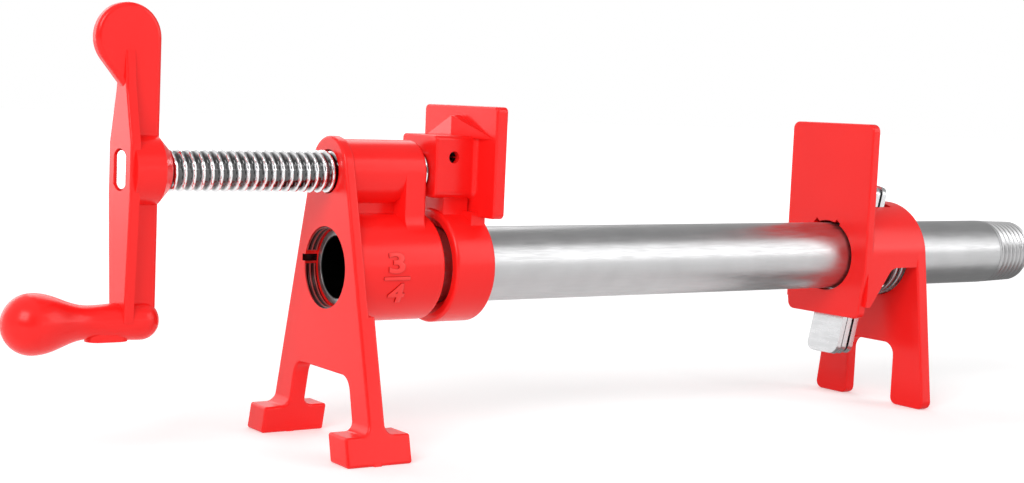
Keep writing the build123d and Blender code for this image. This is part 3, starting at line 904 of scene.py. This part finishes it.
@dataclass
class SizeMark:
    """The pipe's nominal size, cast in relief on the head's pipe boss: a three over a bar over a four."""

    three: Seat = Seat(-98.9 * MM, 9.7)
    bar: Seat = Seat(-98.7 * MM, -6.4)
    four: Seat = Seat(-98.1 * MM, -22.5)
    boss_r: float = 18.7 * MM
    relief: float = 0.52 * MM
    sink: float = 0.30 * MM
    soft_edge: float = 0.42 * MM
    edge_steps: int = 3
    digit_w: float = 6.5 * MM
    digit_h: float = 7.2 * MM
    digit_thin: float = 0.16 * MM
    bar_w: float = 10.4 * MM
    bar_h: float = 1.3 * MM
    slice_h: float = 0.35 * MM
    # Painted shade at the figures' feet and painted light on their top faces.
    painted_foot_shade: Colour = (0.34, 0.003, 0.003)
    painted_face_light: Colour = (1.0, 0.045, 0.04)
    foot_range: tuple[float, float] = (0.35, 0.98)

    def build(self) -> None:
        """Make the mark's three figures as one piece."""
        axis_z = round_size(*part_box("pipe"))[0]
        # Painted shade and light: the figures are dark red at their feet and a lighter red on top, which
        # outlines them.
        foot_start, foot_end = (self.boss_r + share * self.relief for share in self.foot_range)
        painted_outline = RadialPaintedShade(axis_z, foot_start, foot_end, 0.0)
        coat = PowderCoat("size_mark_painted_shade_and_light", self.painted_foot_shade, self.painted_face_light, shade=painted_outline).material()
        form = bmesh.new()
        self._wrap(form, self._digit("3"), self.three, axis_z)
        self._wrap(form, self._digit("4"), self.four, axis_z)
        self._wrap(form, self._flat_bar(), self.bar, axis_z)
        bmesh.ops.recalc_face_normals(form, faces=form.faces)
        mesh_piece("size_mark", as_mesh(form, "size_mark"), coat, "frame")

    def _digit(self, digit: str) -> bpy.types.Mesh:
        """Make one digit, flat in X and Y and raised along Z.

        Args:
            digit: The digit.

        Returns:
            Its mesh, centred and scaled to its size.
        """
        curve = bpy.data.curves.new("digit", "FONT")
        curve.body = digit
        curve.size = self.digit_h
        curve.extrude = self.relief
        curve.bevel_depth = self.soft_edge
        curve.bevel_resolution = self.edge_steps - 1
        curve.offset = -self.digit_thin
        holder = bpy.data.objects.new("digit", curve)
        mesh = baked_mesh(holder)
        bpy.data.objects.remove(holder)
        bpy.data.curves.remove(curve)
        return self._fitted(mesh, self.digit_w, self.digit_h)

    def _flat_bar(self) -> bpy.types.Mesh:
        """Make the bar, flat in X and Y and raised along Z, centred and scaled to its size."""
        form = bmesh.new()
        bmesh.ops.create_cube(form, size=1.0)
        bmesh.ops.scale(form, vec=(self.bar_w, self.bar_h, 2 * self.relief), verts=form.verts)
        bmesh.ops.bevel(
            form, geom=form.edges[:], offset=self.soft_edge, segments=self.edge_steps, profile=0.5,
            affect="EDGES",
        )
        return self._fitted(as_mesh(form, "bar"), self.bar_w, self.bar_h)

    def _fitted(self, mesh: bpy.types.Mesh, width: float, height: float) -> bpy.types.Mesh:
        """Centre a flat figure and scale it, with its relief and what is sunk in the boss.

        Args:
            mesh: The figure's mesh, which is changed.
            width: Its width along X.
            height: Its height along Y.

        Returns:
            The same mesh.
        """
        spots = [vert.co for vert in mesh.vertices]
        low = Vector(min(spot[axis] for spot in spots) for axis in range(3))
        high = Vector(max(spot[axis] for spot in spots) for axis in range(3))
        wanted = Vector((width, height, self.relief + self.sink))
        for vert in mesh.vertices:
            for axis in range(3):
                share = (vert.co[axis] - low[axis]) / (high[axis] - low[axis])
                vert.co[axis] = (share - 0.5) * wanted[axis]
            vert.co.z += (self.relief - self.sink) / 2
        return mesh

    def _wrap(self, form: bmesh.types.BMesh, mesh: bpy.types.Mesh, seat: Seat, axis_z: float) -> None:
        """Slice a flat figure across its height, wrap it round the boss's near side and add it.

        Args:
            form: The form that takes the figure.
            mesh: The flat figure.
            seat: The figure's middle on the boss.
            axis_z: The boss's axis height.
        """
        figure = bmesh.new()
        figure.from_mesh(mesh)
        bmesh.ops.remove_doubles(figure, verts=figure.verts, dist=SAME)
        reach = max(abs(vert.co.y) for vert in figure.verts)
        cuts = math.ceil(2 * reach / self.slice_h)
        for cut in range(1, cuts):
            level = -reach + 2 * reach * cut / cuts
            bmesh.ops.bisect_plane(
                figure, geom=figure.verts[:] + figure.edges[:] + figure.faces[:],
                plane_co=(0, level, 0), plane_no=(0, 1, 0), dist=SAME,
            )
        for vert in figure.verts:
            turn = math.radians(seat.angle) + vert.co.y / self.boss_r
            radius = self.boss_r + vert.co.z
            across, up = -radius * math.cos(turn), radius * math.sin(turn)
            vert.co = (seat.x + vert.co.x, across, axis_z + up)
        figure.to_mesh(mesh)
        figure.free()
        form.from_mesh(mesh)


@dataclass
class JawPin:
    """The hollow pin that holds the spindle's end in the sliding jaw, near black as painted shade of its
    hole.
    """

    node: str = "retaining_pin"

    def dress(self) -> None:
        """Colour the pin near black, as painted shade."""
        dress_node(self.node, BareSteel("pin_painted_shade", Steel.PIN).material())


@dataclass
class Clutch:
    """The tail jaw's clutch: the spring's wire, and three discs with marks across their faces."""

    spring: str = "clutch_spring"
    discs: tuple[str, ...] = ("clutch_disc_1", "clutch_disc_2", "clutch_disc_3")
    disc_stretch: Place = (200.0, 30.0, 200.0)
    disc_mark_depth: float = 0.0001 * MM

    def dress(self) -> None:
        """Give the spring and the discs their steels."""
        dress_node(self.spring, BareSteel("spring_wire", Steel.SPRING).material())
        plate = BareSteel("disc_plate", Steel.DISC, self.disc_stretch, mark_depth=self.disc_mark_depth)
        steel = plate.material()
        for name in self.discs:
            dress_node(name, steel)


def studio_piece(name: str, form: bmesh.types.BMesh, material: bpy.types.Material) -> bpy.types.Object:
    """Make a piece of the studio.

    Args:
        name: The piece's name.
        form: Its form, in place.
        material: Its material.

    Returns:
        The piece.
    """
    mesh = as_mesh(form, name)
    mesh.materials.append(material)
    piece = bpy.data.objects.new(name, mesh)
    bpy.context.collection.objects.link(piece)
    return piece


@dataclass(frozen=True)
class Lamp:
    """A square lamp that looks at the clamp's middle: its place, the length of its side and its power."""

    name: str
    at: Place
    side: float
    watts: float

    def hang(self) -> None:
        """Hang the lamp."""
        data = bpy.data.lights.new(self.name, "AREA")
        data.size = self.side
        data.energy = self.watts
        lamp = bpy.data.objects.new(self.name, data)
        bpy.context.collection.objects.link(lamp)
        lamp.location = self.at
        lamp.rotation_euler = (CLAMP_MIDDLE - Vector(self.at)).to_track_quat("-Z", "Y").to_euler()


@dataclass(frozen=True)
class Card:
    """A card that only the gloss sees: its middle, its width and height, and how bright it looks.

    It faces the clamp's middle, or lies flat on the floor.
    """

    name: str
    at: Place
    size: tuple[float, float]
    shade: float
    flat: bool = False

    def stand(self) -> None:
        """Stand the card."""
        aim = Matrix.Identity(4)
        if not self.flat:
            aim = (CLAMP_MIDDLE - Vector(self.at)).to_track_quat("Z", "Y").to_matrix().to_4x4()
        form = bmesh.new()
        bmesh.ops.create_grid(form, x_segments=1, y_segments=1, size=0.5)
        bmesh.ops.scale(form, vec=(*self.size, 1.0), verts=form.verts)
        bmesh.ops.transform(form, matrix=Matrix.Translation(self.at) @ aim, verts=form.verts)
        paint = NodeBoard(self.name).finish(
            Base_Color=BLACK, Specular_IOR_Level=0.0, Emission_Color=WHITE, Emission_Strength=self.shade,
        )
        piece = studio_piece(self.name, form, paint)
        piece.visible_camera = False
        piece.visible_diffuse = False
        piece.visible_shadow = False
        piece.visible_transmission = False


@dataclass
class Studio:
    """A pale floor, a white world, soft lamps, cards that give the metal its bands and a painted shadow
    under the pipe in its reflections, and the camera.
    """

    floor_half: float = 6.0
    floor_tone: float = 0.93
    floor_roughness: float = 0.9
    floor_glow: tuple[float, float] = (0.24, 0.66)
    floor_fade: tuple[float, float] = (0.5, 2.2)
    world_light: float = 0.51
    camera_at: Place = (-0.394562, -0.491829, 0.120552)
    yaw: float = 1.0410385
    pitch: float = -0.0890613
    roll: float = 0.0357799
    lens: float = 59.135
    sensor: float = 36.0
    shift_x: float = 0.1582
    nearest: float = 0.01
    cards: tuple[Card, ...] = (
        Card("card_above", (1.6, 0.35, 1.3), (4.6, 4.0), 0.42),
        Card("card_near", (-1.2, -1.6, 0.5), (2.4, 2.2), 0.03),
        Card("card_strip", (1.5, -1.45, 0.42), (3.0, 0.26), 2.4),
        # Painted shadow: a dim card on the floor under the pipe, seen only in reflections.
        Card("card_under_painted_shadow", (0.33, 0.02, 0.0006), (0.44, 0.16), 0.30, flat=True),
    )
    lamps: tuple[Lamp, ...] = (
        Lamp("key_lamp", (-1.3, -0.9, 1.1), 0.9, 16.0),
        Lamp("fill_lamp", (1.1, -1.0, 0.8), 0.9, 5.0),
        Lamp("side_lamp", (-0.6, 2.0, 0.4), 1.6, 10.0),
        Lamp("back_lamp", (0.6, 1.3, 1.2), 1.0, 6.0),
    )

    def floor(self) -> None:
        """Lay the floor under the clamp, whose glow grows with the distance."""
        form = bmesh.new()
        bmesh.ops.create_grid(form, x_segments=1, y_segments=1, size=self.floor_half)
        board = NodeBoard("floor_paint")
        far = board.node("ShaderNodeVectorMath")
        far.operation = "LENGTH"
        board.feed(far.inputs[0], board.place())
        glow = board.span(far.outputs["Value"], *self.floor_fade, *self.floor_glow)
        piece = studio_piece("floor", form, board.finish(
            Base_Color=(self.floor_tone, self.floor_tone, self.floor_tone, 1.0),
            Roughness=self.floor_roughness,
            Emission_Color=WHITE,
            Emission_Strength=board.calculate("MULTIPLY", self._seen(board), glow),
        ))

    def _seen(self, nodes: NodeGraph) -> Socket:
        """Tell what the camera, a gloss or a glass shows from what only lights.

        Args:
            nodes: The tree that asks.

        Returns:
            The socket of 1 for what is seen, and 0 for what only lights.
        """
        path = nodes.node("ShaderNodeLightPath").outputs
        gloss = nodes.calculate("MAXIMUM", path["Is Glossy Ray"], path["Is Transmission Ray"])
        return nodes.calculate("MAXIMUM", path["Is Camera Ray"], gloss)

    def world(self) -> None:
        """Make a world that is white to the eye and in the metal, and a softer light on the object."""
        world = bpy.data.worlds.new("studio")
        bpy.context.scene.world = world
        world.use_nodes = True
        nodes = NodeGraph(world.node_tree)
        strength = nodes.calculate("MAXIMUM", self._seen(nodes), self.world_light)
        nodes.fill(world.node_tree.nodes["Background"], Color=WHITE, Strength=strength)

    def camera(self) -> None:
        """Set the camera at the photograph's viewing angle."""
        ahead = Vector((
            math.cos(self.yaw) * math.cos(self.pitch),
            math.sin(self.yaw) * math.cos(self.pitch),
            math.sin(self.pitch),
        ))
        level = Vector((math.sin(self.yaw), -math.cos(self.yaw), 0.0))
        above = level.cross(ahead)
        right = math.cos(self.roll) * level + math.sin(self.roll) * above
        up = math.cos(self.roll) * above - math.sin(self.roll) * level
        data = bpy.data.cameras.new("camera")
        data.sensor_width = self.sensor
        data.lens = self.lens
        data.shift_x = self.shift_x
        data.clip_start = self.nearest
        camera = bpy.data.objects.new("camera", data)
        bpy.context.collection.objects.link(camera)
        turn = Matrix((right, up, -ahead)).transposed().to_4x4()
        camera.matrix_world = Matrix.Translation(self.camera_at) @ turn
        bpy.context.scene.camera = camera

    def set_up(self) -> None:
        """Build the whole studio."""
        self.floor()
        self.world()
        for card in self.cards:
            card.stand()
        for lamp in self.lamps:
            lamp.hang()
        self.camera()
        bpy.context.scene.view_settings.view_transform = "Standard"


def main() -> None:
    """Build and dress every piece in order, and set up the studio."""
    logging.basicConfig(level=logging.INFO)
    threads = ThreadNodes()
    Castings().dress()
    Spindle().build(threads)
    Pipe().build(threads)
    MouthThread().build(threads)
    SizeMark().build()
    JawPin().dress()
    Clutch().dress()
    Studio().set_up()


if __name__ == "__main__":
    main()
